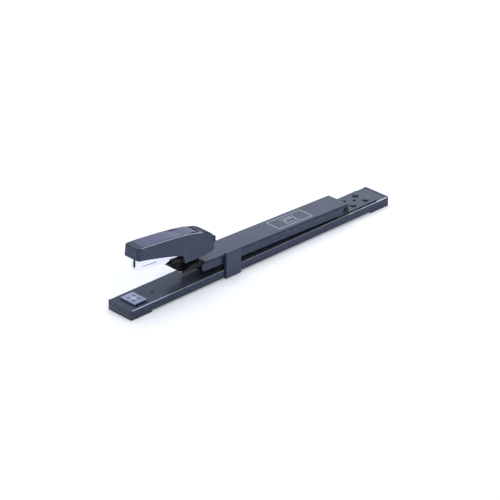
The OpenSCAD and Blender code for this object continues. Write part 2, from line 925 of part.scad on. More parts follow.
// The cover's outer form, or its hollow when inset by a wall
module cover_form(wall)
    intersection() {
        slab(-cover_w, cover_w)
            translate([0, -wall])
                cover_outline();
        translate([0, 0, -60])
            linear_extrude(120)
                difference() {
                    translate([cover_u0 + wall, -cover_w / 2 + wall])
                        square([cover_u1 - cover_u0 + 4 * wall, cover_w - 2 * wall]);
                    for (m = [0, 1])
                        mirror([0, m])
                            translate([cover_u0 + wall, -cover_w / 2 + wall])
                                corner_waste(cover_corner_r - wall);
                }
        translate([-20, 0, 0])
            rotate([90, 0, 90])
                linear_extrude(180)
                    polygon([
                        [cover_w / 2 - wall, -60], [cover_w / 2 - wall, draft_z0],
                        [cover_top_w / 2 - wall, draft_z1],
                        [-cover_top_w / 2 + wall, draft_z1],
                        [-cover_w / 2 + wall, draft_z0], [-cover_w / 2 + wall, -60]]);
    }

// A band that follows the cover's top line, from d0 to d1 below it
module top_band(u0, u1, d0, d1) {
    us = concat([u0], [for (p = top_line) if (p[0] > u0 && p[0] < u1) p[0]], [u1]);
    upper = [for (u = us) [u, lookup(u, top_line) - d0]];
    lower = [for (i = [len(us) - 1:-1:0]) [us[i], lookup(us[i], top_line) - d1]];
    polygon(concat(upper, lower));
}

module cover_shell()
    color("#34363f")
    in_head()
        difference() {
            cover_form(0);
            difference() {
                union() {
                    cover_form(cover_t);
                    slab(-cover_w / 2 + cover_t, cover_w / 2 - cover_t)
                        translate([rear_plate_u - 1, -40])
                            square([20, 54]);
                }
                slab(-cover_w, cover_w)
                    top_band(-2, hb + 4, 0, cover_t + inset_t);
            }
            slab(-inset_w / 2, inset_w / 2)
                top_band(inset_u0, inset_u1, -1, inset_sink + inset_t);
        }

module cover_inset()
    color("#54566a")
    in_head()
        slab(-inset_w / 2 + inset_gap, inset_w / 2 - inset_gap)
            top_band(inset_u0 + inset_gap, inset_u1 - inset_gap, inset_sink,
                     inset_sink + inset_t);

module catch_button()
    color("#17181b")
    in_head() {
        translate([catch_u, -catch_w / 2, catch_z])
            cube([catch_l, catch_w, catch_h]);
        translate([rear_plate_u - 0.4, -stem_w / 2, catch_z])
            cube([catch_u - rear_plate_u + 0.6, stem_w, stem_h]);
        translate([rear_plate_u - 1.1, -stem_w / 2 - 1.3, catch_z - 0.6])
            cube([0.8, stem_w + 2.6, stem_h + 1.1]);
    }

module catch_spring()
    color("#a6a9b2")
    in_head()
        translate([catch_spring_u, 0, ledge_z])
            coil(catch_spring_r, catch_spring_wire_r, 3.5, catch_z - ledge_z - 0.1);

// Paper guide

module paper_guide()
    color("#2f3139")
    translate([guide_x, 0, 0]) {
        along_arm(0, guide_l)
            difference() {
                translate([-guide_half, sole_z])
                    square([2 * guide_half, guide_top - sole_z]);
                translate([-guide_half + guide_t, sole_z + sole_t])
                    square([2 * (guide_half - guide_t), guide_top]);
                for (m = [0, 1])
                    mirror([m, 0])
                        translate([-guide_half, sole_z])
                            corner_waste(1.5);
            }
        for (m = [0, 1])
            mirror([0, m, 0])
                translate([0, arm_w / 2 + guide_gap, base_h + slide_gap])
                    cube([fence_t, guide_half - arm_w / 2 - guide_gap,
                          guide_top - base_h - slide_gap]);
    }

base_tray();
base_plate();
front_foot();
rear_foot();
hinge_bracket();
bracket_rivets();
hinge_pin();
hinge_clip();
anvil_leaf_spring();
leaf_rivet();
anvil_button();
anvil_post();
anvil_plate();
arm_channel();
arm_return_spring();
head_bracket();
head_pivot_pin();
pivot_bushes();
head_return_spring();
magazine_channel();
staple_rail();
staple_strip();
rod_end_plates();
pusher_rod();
pusher();
pusher_spring();
head_frame();
magazine_rivets();
handle_pin();
spring_seat();
handle_return_spring();
handle_frame();
driver_blade();
blade_rivets();
cover_shell();
cover_inset();
catch_button();
catch_spring();
paper_guide();
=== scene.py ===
import json
import math

import bpy
from mathutils import Matrix, Vector

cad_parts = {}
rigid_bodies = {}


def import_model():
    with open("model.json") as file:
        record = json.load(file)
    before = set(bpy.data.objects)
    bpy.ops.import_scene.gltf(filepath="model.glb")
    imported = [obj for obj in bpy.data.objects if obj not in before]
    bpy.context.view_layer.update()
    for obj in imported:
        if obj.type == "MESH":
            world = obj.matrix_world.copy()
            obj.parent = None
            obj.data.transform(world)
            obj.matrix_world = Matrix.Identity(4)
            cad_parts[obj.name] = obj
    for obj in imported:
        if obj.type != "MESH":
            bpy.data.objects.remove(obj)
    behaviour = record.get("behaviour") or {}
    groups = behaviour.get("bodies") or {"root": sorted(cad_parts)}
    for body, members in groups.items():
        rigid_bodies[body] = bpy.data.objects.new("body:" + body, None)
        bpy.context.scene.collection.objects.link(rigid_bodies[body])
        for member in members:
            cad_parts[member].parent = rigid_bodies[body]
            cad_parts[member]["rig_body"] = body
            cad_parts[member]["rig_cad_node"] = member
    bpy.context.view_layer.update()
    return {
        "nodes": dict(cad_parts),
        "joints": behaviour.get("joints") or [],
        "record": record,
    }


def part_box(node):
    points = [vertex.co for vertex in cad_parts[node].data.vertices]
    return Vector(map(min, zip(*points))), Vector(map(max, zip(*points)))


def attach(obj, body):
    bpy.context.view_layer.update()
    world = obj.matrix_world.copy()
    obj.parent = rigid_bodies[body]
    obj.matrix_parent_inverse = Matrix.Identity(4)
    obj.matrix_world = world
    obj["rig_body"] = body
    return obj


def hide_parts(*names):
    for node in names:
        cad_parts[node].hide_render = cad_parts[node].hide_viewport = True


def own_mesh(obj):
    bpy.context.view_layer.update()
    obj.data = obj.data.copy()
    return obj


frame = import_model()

bl_info = {
    "name": "Long-Arm Stapler Looks",
    "version": (1, 0, 0),
    "blender": (4, 5, 0),
    "location": "3D View > Sidebar > Stapler",
    "description": "Models and finishes the visible pieces of a long-arm stapler round its frame",
    "category": "Object",
}

MM = 0.001
JOINTS = {j["name"]: j for j in frame["joints"]}
BODY_OF = {n: b for b, ns in frame["record"]["behaviour"]["bodies"].items() for n in ns}

# The head's own frame: origin at the magazine's nose, X back along the magazine, Z up
HANDLE_PIN_BACK = 116 * MM
HANDLE_PIN_RISE = 9.4 * MM
HEAD_BACK = Vector(JOINTS["pusher_slide"]["axis"]).normalized()
HEAD_UP = HEAD_BACK.cross(Vector((0, 1, 0))).normalized()
HEAD_ORIGIN = (Vector(JOINTS["handle_press"]["pos_m"]) - HEAD_BACK * HANDLE_PIN_BACK
               - HEAD_UP * HANDLE_PIN_RISE)
HEAD = Matrix((
    (HEAD_BACK.x, 0, HEAD_UP.x, HEAD_ORIGIN.x),
    (HEAD_BACK.y, 1, HEAD_UP.y, HEAD_ORIGIN.y),
    (HEAD_BACK.z, 0, HEAD_UP.z, HEAD_ORIGIN.z),
    (0, 0, 0, 1)))

# The cover's side view in the head's frame, in mm: its top line and its lower edge
COVER_TOP = [(-6.4, 32.9), (0, 33.3), (6, 33.4), (16, 33.3), (30, 33.0), (44, 32.6),
             (58, 32.0), (70, 31.3), (80, 30.4), (90, 29.1), (100, 27.3), (108, 25.5),
             (114, 23.4), (118.5, 20.9), (121.6, 17.8)]
COVER_LOW = [(-6.4, 17.4), (0, 17.0), (6, 16.2), (16, 14.7), (30, 12.3), (44, 9.8),
             (58, 6.9), (65, 5.2), (69.5, 4.0), (70.6, 0.5), (72.9, -7.2), (90, -6.3),
             (104, -5.4), (114, -3.7), (121.6, -2.2)]
COVER_LOWEST = -7.2
COVER_HIGHEST = 33.4

# Half widths of the cover at its lower edge and along its top, in mm
COVER_LOW_HALF = 14.3
COVER_TOP_HALF = 13.05

# The pocket in the cover's top, in mm: its ends, the ledge round it and its depth
POCKET_FRONT = 0.2
POCKET_BACK = 103
POCKET_LEDGE = 2.2
POCKET_DEPTH = 1.1

# The camera's angles in degrees, its lens, and its shift off the object's middle, in mm
CAMERA_AZIMUTH = -44.181
CAMERA_ELEVATION = 27.213
CAMERA_LENS = 165.6
CAMERA_LEFT = 5.728
CAMERA_RISE = 6.157

# Name, place in metres, size in metres and power in watts of each light
LIGHTS = (
    ("Top Softbox", (0.4, 0.5, 1.8), 1.4, 13),
    ("Side Softbox", (-0.6, -1.4, 1.3), 0.5, 4),
    ("Rear Card", (0.82, 0.62, 0.42), 0.55, 0.6),
)

# How the world's light grows from the object's front to its rear
WORLD_FALL = {"low": -1.0, "high": 0.3, "to_low": 0.45, "to_high": 0.88}

# Pale tone of the settled dust, which also stands as painted light on faces that look up
DUST_AND_TOP_LIGHT_COLOUR = (0.42, 0.42, 0.43)
STREAK_TONE = 0.82
BUMP_STRENGTH = 0.5
COAT_ROUGHNESS = 0.12


# ---------------------------------------------------------------- sizes and colours

class StaplerSizes(bpy.types.PropertyGroup):
    sheet_edge: bpy.props.FloatProperty(
        name="Sheet edge", description="Radius of the broken edges on the steel sheet pieces",
        default=0.22 * MM, min=0.05 * MM, max=0.4 * MM, unit="LENGTH")
    plastic_edge: bpy.props.FloatProperty(
        name="Plastic edge", description="Radius of the moulded edges on the plastic pieces",
        default=0.45 * MM, min=0.1 * MM, max=0.8 * MM, unit="LENGTH")
    cover_round: bpy.props.FloatProperty(
        name="Cover edge", description="Radius along the cover's top edges",
        default=1.5 * MM, min=0.5 * MM, max=3 * MM, unit="LENGTH")
    cover_corner: bpy.props.FloatProperty(
        name="Cover corner", description="Radius of the cover's upright front corners",
        default=4.6 * MM, min=1 * MM, max=6 * MM, unit="LENGTH")
    cover_wall: bpy.props.FloatProperty(
        name="Cover wall", description="Thickness of the cover's wall",
        default=1.5 * MM, min=1 * MM, max=2 * MM, unit="LENGTH")
    panel_groove: bpy.props.FloatProperty(
        name="Panel groove", description="Width of the groove round the cover's top panel",
        default=0.7 * MM, min=0.3 * MM, max=1.5 * MM, unit="LENGTH")
    staple_pitch: bpy.props.FloatProperty(
        name="Staple pitch", description="Distance from one staple to the next in the strip",
        default=0.52 * MM, min=0.45 * MM, max=0.7 * MM, unit="LENGTH")
    print_line: bpy.props.FloatProperty(
        name="Print line", description="Width of the printed lines on the arm",
        default=0.75 * MM, min=0.3 * MM, max=1.2 * MM, unit="LENGTH")
    camera_distance: bpy.props.FloatProperty(
        name="Camera distance", description="Distance from the object's middle to the camera",
        default=2.9772, min=1, max=6, unit="LENGTH")


class StaplerColours(bpy.types.PropertyGroup):
    enamel: bpy.props.FloatVectorProperty(
        name="Enamel", description="Black enamel of the base and the arm",
        default=(0.021, 0.026, 0.044), size=3, subtype="COLOR", min=0, max=1)
    plastic: bpy.props.FloatVectorProperty(
        name="Plastic", description="Black plastic of the cover and the guide",
        default=(0.029, 0.035, 0.054), size=3, subtype="COLOR", min=0, max=1)
    panel: bpy.props.FloatVectorProperty(
        name="Panel", description="Softer plastic of the panel in the cover's top",
        default=(0.078, 0.074, 0.138), size=3, subtype="COLOR", min=0, max=1)
    chrome: bpy.props.FloatVectorProperty(
        name="Chrome", description="Bright plating of the magazine",
        default=(0.88, 0.89, 0.95), size=3, subtype="COLOR", min=0, max=1)
    zinc: bpy.props.FloatVectorProperty(
        name="Zinc", description="Plating of the anvil",
        default=(0.34, 0.37, 0.50), size=3, subtype="COLOR", min=0, max=1)
    print_ink: bpy.props.FloatVectorProperty(
        name="Print", description="Light ink of the printed frame",
        default=(0.62, 0.65, 0.72), size=3, subtype="COLOR", min=0, max=1)


def sizes():
    return bpy.context.scene.stapler_sizes


def colours():
    return bpy.context.scene.stapler_colours


# ---------------------------------------------------------------- finishes

def new_group(name, inputs, outputs):
    """A shader node group with float or vector sockets; returns it with its two end nodes."""
    group = bpy.data.node_groups.new(name, "ShaderNodeTree")
    for socket, kind, value in inputs:
        made = group.interface.new_socket(socket, in_out="INPUT", socket_type=kind)
        if value is not None:
            made.default_value = value
    for socket in outputs:
        group.interface.new_socket(socket, in_out="OUTPUT", socket_type="NodeSocketFloat")
    return group, group.nodes.new("NodeGroupInput"), group.nodes.new("NodeGroupOutput")


def math_node(tree, kind, a, b, clamp=False):
    """A Math node whose inputs are links or numbers."""
    node = tree.nodes.new("ShaderNodeMath")
    node.operation = kind
    node.use_clamp = clamp
    for socket, value in zip(node.inputs, (a, b)):
        if isinstance(value, (int, float)):
            socket.default_value = value
        else:
            tree.links.new(value, socket)
    return node.outputs[0]


def noise_node(tree, vector, scale, detail):
    node = tree.nodes.new("ShaderNodeTexNoise")
    node.inputs["Detail"].default_value = detail
    tree.links.new(vector, node.inputs["Vector"])
    if isinstance(scale, (int, float)):
        node.inputs["Scale"].default_value = scale
    else:
        tree.links.new(scale, node.inputs["Scale"])
    return node.outputs["Fac"]


def range_node(tree, value, low, high, to_low=0.0, to_high=1.0):
    node = tree.nodes.new("ShaderNodeMapRange")
    tree.links.new(value, node.inputs["Value"])
    for socket, number in zip(("From Min", "From Max", "To Min", "To Max"),
                              (low, high, to_low, to_high)):
        node.inputs[socket].default_value = number
    return node.outputs["Result"]


def grain_group():
    """Fine moulded or sprayed grain, and broad smudges from handling."""
    group, come, go = new_group(
        "Surface Grain",
        [("Vector", "NodeSocketVector", None), ("Grain Scale", "NodeSocketFloat", 2200.0),
         ("Smudge Scale", "NodeSocketFloat", 45.0)], ["Grain", "Smudge"])
    fine = noise_node(group, come.outputs["Vector"], come.outputs["Grain Scale"], 3)
    broad = noise_node(group, come.outputs["Vector"], come.outputs["Smudge Scale"], 5)
    group.links.new(fine, go.inputs["Grain"])
    group.links.new(range_node(group, broad, 0.35, 0.68), go.inputs["Smudge"])
    return group


def wear_group():
    """Where an outer edge has lost its finish, broken up along the edge."""
    group, come, go = new_group(
        "Edge Wear",
        [("Vector", "NodeSocketVector", None), ("Amount", "NodeSocketFloat", 0.4)], ["Mask"])
    geometry = group.nodes.new("ShaderNodeNewGeometry")
    edge = range_node(group, geometry.outputs["Pointiness"], 0.53, 0.62)
    patches = range_node(group, noise_node(group, come.outputs["Vector"], 160, 4), 0.42, 0.7)
    worn = math_node(group, "MULTIPLY", edge, patches)
    group.links.new(math_node(group, "MULTIPLY", worn, come.outputs["Amount"], clamp=True),
                    go.inputs["Mask"])
    return group


def brush_group():
    """Rolling or brushing lines that run along one direction of the sheet."""
    group, come, go = new_group(
        "Brush Lines",
        [("Vector", "NodeSocketVector", None), ("Stretch", "NodeSocketVector", (30, 1500, 1500))],
        ["Lines", "Streaks"])
    scaled = group.nodes.new("ShaderNodeVectorMath")
    scaled.operation = "MULTIPLY"
    group.links.new(come.outputs["Vector"], scaled.inputs[0])
    group.links.new(come.outputs["Stretch"], scaled.inputs[1])
    group.links.new(noise_node(group, scaled.outputs[0], 1, 4), go.inputs["Lines"])
    broad = group.nodes.new("ShaderNodeVectorMath")
    broad.operation = "SCALE"
    broad.inputs["Scale"].default_value = 0.12
    group.links.new(scaled.outputs[0], broad.inputs[0])
    group.links.new(range_node(group, noise_node(group, broad.outputs[0], 1, 3), 0.3, 0.7),
                    go.inputs["Streaks"])
    return group


def dust_and_top_light_group():
    """Pale dust that settles on faces that look up; it also paints light onto the tops,
    lightening them against the sides.
    """
    group, come, go = new_group(
        "Settled Dust And Painted Top Light",
        [("Vector", "NodeSocketVector", None), ("Amount", "NodeSocketFloat", 0.1)], ["Mask"])
    geometry = group.nodes.new("ShaderNodeNewGeometry")
    split = group.nodes.new("ShaderNodeSeparateXYZ")
    group.links.new(geometry.outputs["Normal"], split.inputs[0])
    up = range_node(group, split.outputs["Z"], 0.3, 1.0)
    specks = range_node(group, noise_node(group, come.outputs["Vector"], 900, 6), 0.5, 0.75)
    dust_and_top_light = math_node(group, "MULTIPLY", up, specks)
    group.links.new(math_node(group, "MULTIPLY", dust_and_top_light, come.outputs["Amount"], clamp=True),
                    go.inputs["Mask"])
    return group


def print_group():
    """A printed frame with a plain staple sign inside it, centred on the arm's top."""
    group, come, go = new_group(
        "Printed Frame",
        [("Vector", "NodeSocketVector", None), ("Centre X", "NodeSocketFloat", 0.0),
         ("Half Length", "NodeSocketFloat", 0.03), ("Half Width", "NodeSocketFloat", 0.0123),
         ("Line", "NodeSocketFloat", 0.0005)], ["Mask"])
    split = group.nodes.new("ShaderNodeSeparateXYZ")
    group.links.new(come.outputs["Vector"], split.inputs[0])
    along = math_node(group, "SUBTRACT", split.outputs["X"], come.outputs["Centre X"])
    across = split.outputs["Y"]
    line = come.outputs["Line"]

    def box(cx, cy, half_x, half_y):
        dx = math_node(group, "ABSOLUTE", math_node(group, "SUBTRACT", along, cx), 0)
        dy = math_node(group, "ABSOLUTE", math_node(group, "SUBTRACT", across, cy), 0)
        return math_node(group, "MULTIPLY", math_node(group, "LESS_THAN", dx, half_x),
                         math_node(group, "LESS_THAN", dy, half_y))

    half_l, half_w = come.outputs["Half Length"], come.outputs["Half Width"]
    inner_l = math_node(group, "SUBTRACT", half_l, line)
    inner_w = math_node(group, "SUBTRACT", half_w, line)
    marks = math_node(group, "SUBTRACT", box(0, 0, half_l, half_w), box(0, 0, inner_l, inner_w))
    crown, leg, stroke, top_y = 9 * MM, 3.4 * MM, 0.45 * MM, 2.6 * MM
    rule_half, rule_stroke, low_rule_y, high_rule_y = 13 * MM, 0.3 * MM, -6.6 * MM, 6.4 * MM
    for cx, cy, half_x, half_y in (
            (0, top_y, crown, stroke), (-crown + stroke, top_y - leg, stroke, leg),
            (crown - stroke, top_y - leg, stroke, leg),
            (0, low_rule_y, rule_half, rule_stroke), (0, high_rule_y, rule_half, rule_stroke)):
        marks = math_node(group, "ADD", marks, box(cx, cy, half_x, half_y), clamp=True)
    geometry = group.nodes.new("ShaderNodeNewGeometry")
    normal = group.nodes.new("ShaderNodeSeparateXYZ")
    group.links.new(geometry.outputs["Normal"], normal.inputs[0])
    top = math_node(group, "GREATER_THAN", normal.outputs["Z"], 0.9)
    wear = range_node(group, noise_node(group, come.outputs["Vector"], 700, 4), 0.15, 0.3)
    group.links.new(math_node(group, "MULTIPLY", math_node(group, "MULTIPLY", marks, top), wear),
                    go.inputs["Mask"])
    return group


GROUPS = {}


def use_group(tree, name, vector, **values):
    """Places a shared group in a material, built the first time that it is asked for."""
    makers = {"grain": grain_group, "wear": wear_group, "brush": brush_group,
              "dust_and_top_light": dust_and_top_light_group, "print": print_group}
    if name not in GROUPS:
        GROUPS[name] = makers[name]()
    node = tree.nodes.new("ShaderNodeGroup")
    node.node_tree = GROUPS[name]
    tree.links.new(vector, node.inputs["Vector"])
    for socket, value in values.items():
        node.inputs[socket.replace("_", " ")].default_value = value
    return node.outputs


def mix_colour(tree, fac, a, b):
    """Mixes two colours by a mask; each may be a link or an RGB tuple."""
    node = tree.nodes.new("ShaderNodeMix")
    node.data_type = "RGBA"
    tree.links.new(fac, node.inputs["Factor"])
    for socket, value in zip((node.inputs[6], node.inputs[7]), (a, b)):
        if isinstance(value, (tuple, list)):
            socket.default_value = (*value, 1)
        else:
            tree.links.new(value, socket)
    return node.outputs[2]


def tone(colour, factor):
    return tuple(min(1.0, c * factor) for c in colour)


def finish(name, colour, rough, metallic=0.0, coat=0.0, grain=2200.0, depth=0.000004, smudge=0.12,
           wear=0.0, worn_colour=(0.32, 0.33, 0.36), dust_and_top_light=0.0, brushed=None, specular=0.5,
           vary=0.12, printed=None, tint=(1, 1, 1)):
    """A procedural finish: base tone, grain, smudges, brushing, worn edges, dust that also paints
    light on the tops, and print.
    """
    if name in bpy.data.materials:
        return bpy.data.materials[name]
    material = bpy.data.materials.new(name)
    material.use_nodes = True
    tree = material.node_tree
    shader = tree.nodes["Principled BSDF"]
    place = tree.nodes.new("ShaderNodeTexCoord").outputs["Object"]
    surface = use_group(tree, "grain", place, Grain_Scale=grain)
    colour = tuple(colour)
    base = mix_colour(tree, surface["Smudge"], tone(colour, 1 - vary), tone(colour, 1 + vary))
    roughness = range_node(tree, surface["Smudge"], 0, 1, max(0.02, rough - smudge / 2),
                           min(1.0, rough + smudge / 2))
    height = surface["Grain"]
    if brushed:
        lines = use_group(tree, "brush", place, Stretch=brushed)
        base = mix_colour(tree, lines["Streaks"], base, tone(colour, STREAK_TONE))
        roughness = math_node(tree, "ADD", roughness,
                              range_node(tree, lines["Lines"], 0.3, 0.7, -0.05, 0.07), clamp=True)
        height = lines["Lines"]
    if printed:
        ink = use_group(tree, "print", place, **printed[1])["Mask"]
        base = mix_colour(tree, ink, base, tuple(printed[0]))
    if wear:
        worn = use_group(tree, "wear", place, Amount=wear)["Mask"]
        base = mix_colour(tree, worn, base, worn_colour)
    # Dust on faces that look up, which also paints light onto the tops
    if dust_and_top_light:
        dust_and_top_light_mask = use_group(tree, "dust_and_top_light", place, Amount=dust_and_top_light)["Mask"]
        base = mix_colour(tree, dust_and_top_light_mask, base, DUST_AND_TOP_LIGHT_COLOUR)
        roughness = math_node(tree, "ADD", roughness,
                              math_node(tree, "MULTIPLY", dust_and_top_light_mask, 0.4), clamp=True)
    bump = tree.nodes.new("ShaderNodeBump")
    bump.inputs["Strength"].default_value = BUMP_STRENGTH
    bump.inputs["Distance"].default_value = depth
    tree.links.new(height, bump.inputs["Height"])
    tree.links.new(base, shader.inputs["Base Color"])
    tree.links.new(roughness, shader.inputs["Roughness"])
    tree.links.new(bump.outputs["Normal"], shader.inputs["Normal"])
    shader.inputs["Metallic"].default_value = metallic
    shader.inputs["Coat Weight"].default_value = coat
    shader.inputs["Coat Roughness"].default_value = COAT_ROUGHNESS
    shader.inputs["Specular IOR Level"].default_value = specular
    shader.inputs["Specular Tint"].default_value = (*tint, 1)
    return material


# The cool cast of the black finishes' reflections
COOL = (0.45, 0.62, 1.0)


def enamel():
    return finish("Black Enamel", colours().enamel, 0.26, grain=1400, depth=0.000006,
                  wear=0.25, dust_and_top_light=0.08, tint=COOL)


def arm_enamel():
    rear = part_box("arm_channel")[1].x
    setback, half_length, half_width = 91.8 * MM, 30.6 * MM, 12.3 * MM
    return finish("Black Enamel With Print", colours().enamel, 0.26, grain=1400,
                  depth=0.000006, wear=0.2, dust_and_top_light=0.08, tint=COOL,
                  printed=(colours().print_ink,
                           {"Centre_X": rear - setback, "Half_Length": half_length,
                            "Half_Width": half_width, "Line": sizes().print_line}))


def plate_enamel():
    return finish("Black Plate Enamel", tone(colours().enamel, 0.9), 0.3, grain=1100,
                  depth=0.000005, wear=0.15, dust_and_top_light=0.10, tint=COOL)


# Near-black, dull finish: black paint on inner pieces, and painted shade where it is laid on
# pins, hollows and faces in the dark
def inner_black_and_painted_shade():
    return finish("Inner Black And Painted Shade", (0.005, 0.005, 0.007), 0.5, grain=1800, wear=0.1, specular=0.2)


# Bare steel on the tray's rim top, light grey and half metallic so that it also paints the bright
# highlight line along the rim
def bare_rim_and_painted_highlight():
    return finish("Bare Rim And Painted Highlight", (0.78, 0.80, 0.88), 0.3, metallic=0.5, grain=1600,
                  brushed=(60, 900, 900), depth=0.000002)


def rivet_black():
    return finish("Rivet Black", (0.004, 0.004, 0.006), 0.24, grain=1800, wear=0.3, specular=0.4)


def foot_rubber():
    return finish("Foot Plastic", (0.022, 0.023, 0.028), 0.5, grain=1500, depth=0.00002)


def cover_plastic():
    return finish("Cover Plastic", colours().plastic, 0.24, grain=2600, depth=0.000003,
                  smudge=0.16, dust_and_top_light=0.05, tint=COOL)


def cover_shade():
    return finish("Cover Rear", colours().plastic, 0.6, grain=2600, depth=0.000003,
                  specular=0.1)


# Painted highlight: a light grey coated band that stands for the bright line along the cover's
# top side edges
def cover_painted_highlight():
    return finish("Cover Painted Highlight", (0.4, 0.41, 0.46), 0.25, coat=0.4, grain=2600, depth=0.000003)


def panel_plastic():
    return finish("Panel Plastic", colours().panel, 0.34, grain=3200, depth=0.00001, dust_and_top_light=0.06,
                  tint=COOL)


def guide_plastic():
    return finish("Guide Plastic", tone(colours().plastic, 1.2), 0.3, grain=2200,
                  depth=0.000008, dust_and_top_light=0.06, tint=COOL)


def knob_plastic():
    return finish("Knob Plastic", (0.010, 0.010, 0.012), 0.4, grain=2600, depth=0.00001)


def pusher_plastic():
    return finish("Pusher Plastic", (0.72, 0.70, 0.64), 0.38, grain=2600, depth=0.00001)


def magazine_chrome():
    return finish("Magazine Chrome", colours().chrome, 0.1, metallic=1.0, smudge=0.07, vary=0.03,
                  brushed=(40, 700, 700), depth=0.0000012)


def anvil_zinc():
    return finish("Anvil Zinc", colours().zinc, 0.42, metallic=0.85, vary=0.08,
                  brushed=(1100, 60, 1100), depth=0.000004)


def rail_steel():
    return finish("Rail Steel", (0.55, 0.56, 0.6), 0.3, metallic=1.0, brushed=(30, 900, 900))


def pin_steel():
    return finish("Pin Steel", (0.6, 0.61, 0.65), 0.24, metallic=1.0, brushed=(900, 30, 900))


def spring_steel():
    return finish("Spring Steel", (0.46, 0.47, 0.5), 0.28, metallic=1.0, grain=3000)


def leaf_steel():
    return finish("Leaf Steel", (0.55, 0.57, 0.64), 0.26, metallic=1.0, brushed=(40, 900, 900))


def staple_wire():
    return finish("Staple Wire", (0.66, 0.67, 0.71), 0.24, metallic=1.0, grain=3000)


def bush_nylon():
    return finish("Bush Nylon", (0.012, 0.012, 0.014), 0.5, grain=2600, specular=0.3)


# ---------------------------------------------------------------- modelling helpers

def deselect():
    if bpy.context.mode != "OBJECT":
        bpy.ops.object.mode_set(mode="OBJECT")
    bpy.ops.object.select_all(action="DESELECT")


def activate(piece):
    deselect()
    piece.select_set(True)
    bpy.context.view_layer.objects.active = piece


def pick(piece, test, kind="FACE"):
    """In edit mode, selects what passes the test of its middle point and its normal or way."""
    bpy.ops.mesh.select_mode(type=kind)
    bpy.ops.mesh.select_all(action="DESELECT")
    bpy.ops.object.mode_set(mode="OBJECT")
    mesh = piece.data
    if kind == "FACE":
        for face in mesh.polygons:
            face.select = test(face.center, face.normal)
    elif kind == "EDGE":
        for edge in mesh.edges:
            a, b = (mesh.vertices[i].co for i in edge.vertices)
            edge.select = test((a + b) / 2, b - a)
    else:
        for vertex in mesh.vertices:
            vertex.select = test(vertex.co, None)
    bpy.ops.object.mode_set(mode="EDIT")


def modify(piece, kind, **settings):
    """Adds a modifier and applies it."""
    activate(piece)
    bpy.ops.object.modifier_add(type=kind)
    modifier = piece.modifiers[-1]
    for key, value in settings.items():
        setattr(modifier, key, value)
    bpy.ops.object.modifier_apply(modifier=modifier.name)


def box_piece(name, low, high):
    """A box primitive between two corners, in metres, with its place in its mesh."""
    deselect()
    low, high = Vector(low), Vector(high)
    bpy.ops.mesh.primitive_cube_add(size=1, location=(low + high) / 2)
    piece = bpy.context.active_object
    piece.name = piece.data.name = name
    piece.scale = high - low
    bpy.ops.object.transform_apply(location=True, rotation=True, scale=True)
    return piece


def smooth(piece, degrees=40):
    activate(piece)
    bpy.ops.object.shade_smooth_by_angle(angle=math.radians(degrees))
    modify(piece, "WEIGHTED_NORMAL", keep_sharp=True)


def dress(piece, material):
    piece.data.materials.clear()
    piece.data.materials.append(material)


def seat(piece, node):
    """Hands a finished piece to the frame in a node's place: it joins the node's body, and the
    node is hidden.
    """
    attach(piece, BODY_OF[node])
    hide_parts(node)
    deselect()


def copy_of(node, name):
    """A merged copy of a CAD node, free of the frame."""
    deselect()
    source = frame["nodes"][node]
    source.select_set(True)
    bpy.context.view_layer.objects.active = source
    bpy.ops.object.duplicate()
    piece = bpy.context.active_object
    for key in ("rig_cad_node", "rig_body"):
        if key in piece:
            del piece[key]
    world = piece.matrix_world.copy()
    piece.parent = None
    piece.matrix_world = world
    piece.name = piece.data.name = name
    bpy.ops.object.mode_set(mode="EDIT")
    bpy.ops.mesh.select_all(action="SELECT")
    bpy.ops.mesh.remove_doubles(threshold=0.002 * MM)
    bpy.ops.mesh.dissolve_limited(angle_limit=math.radians(0.6))
    bpy.ops.object.mode_set(mode="OBJECT")
    bpy.ops.mesh.customdata_custom_splitnormals_clear()
    return piece


def softened(node, name, edge, material, segments=2, angle=38, cuts=()):
    """A node's own shape with its sharp edges broken, as stamping or moulding leaves them."""
    piece = copy_of(node, name)
    cut_across(piece, cuts)
    modify(piece, "BEVEL", width=edge, segments=segments, limit_method="ANGLE",
           angle_limit=math.radians(angle), use_clamp_overlap=True, harden_normals=False)
    smooth(piece)
    dress(piece, material)
    seat(piece, node)
    return piece


def paint_nodes(material, *nodes):
    for node in nodes:
        dress(frame["nodes"][node], material)


def to_head(piece):
    """Moves a piece that was modelled in the head's own frame to its place in the model."""
    activate(piece)
    piece.matrix_world = HEAD @ piece.matrix_world
    bpy.ops.object.transform_apply(location=True, rotation=True, scale=True)


def height_at(line, x):
    """The height of a side-view line, given as (x, z) pairs, at x."""
    for (x0, z0), (x1, z1) in zip(line, line[1:]):
        if x <= x1:
            return z0 + (z1 - z0) * max(0.0, x - x0) / (x1 - x0)
    return line[-1][1]


def raise_to_line(piece, line, upper):
    """Moves the upper or lower vertices of a box up or down onto a side-view line, in mm."""
    middle = sum(v.co.z for v in piece.data.vertices) / len(piece.data.vertices)
    found = {}
    for vertex in piece.data.vertices:
        if (vertex.co.z > middle) == upper:
            found.setdefault(round(vertex.co.x / MM, 2), vertex.co.z)
    activate(piece)
    bpy.ops.object.mode_set(mode="EDIT")
    for x, z in found.items():
        pick(piece, lambda co, _n: abs(co.x / MM - x) < 0.02 and (co.z > middle) == upper, "VERT")
        bpy.ops.transform.translate(value=(0, 0, height_at(line, x) * MM - z))
    bpy.ops.object.mode_set(mode="OBJECT")


def cut_across(piece, places):
    """Cuts a piece across its length at each place, in mm."""
    activate(piece)
    bpy.ops.object.mode_set(mode="EDIT")
    for x in places:
        bpy.ops.mesh.select_all(action="SELECT")
        bpy.ops.mesh.bisect(plane_co=(x * MM, 0, 0), plane_no=(1, 0, 0))
    bpy.ops.object.mode_set(mode="OBJECT")


def lay_material(piece, material, test):
    """Gives the faces that pass the test a further material."""
    piece.data.materials.append(material)
    index = len(piece.data.materials) - 1
    for face in piece.data.polygons:
        if test(face.center, face.normal):
            face.material_index = index


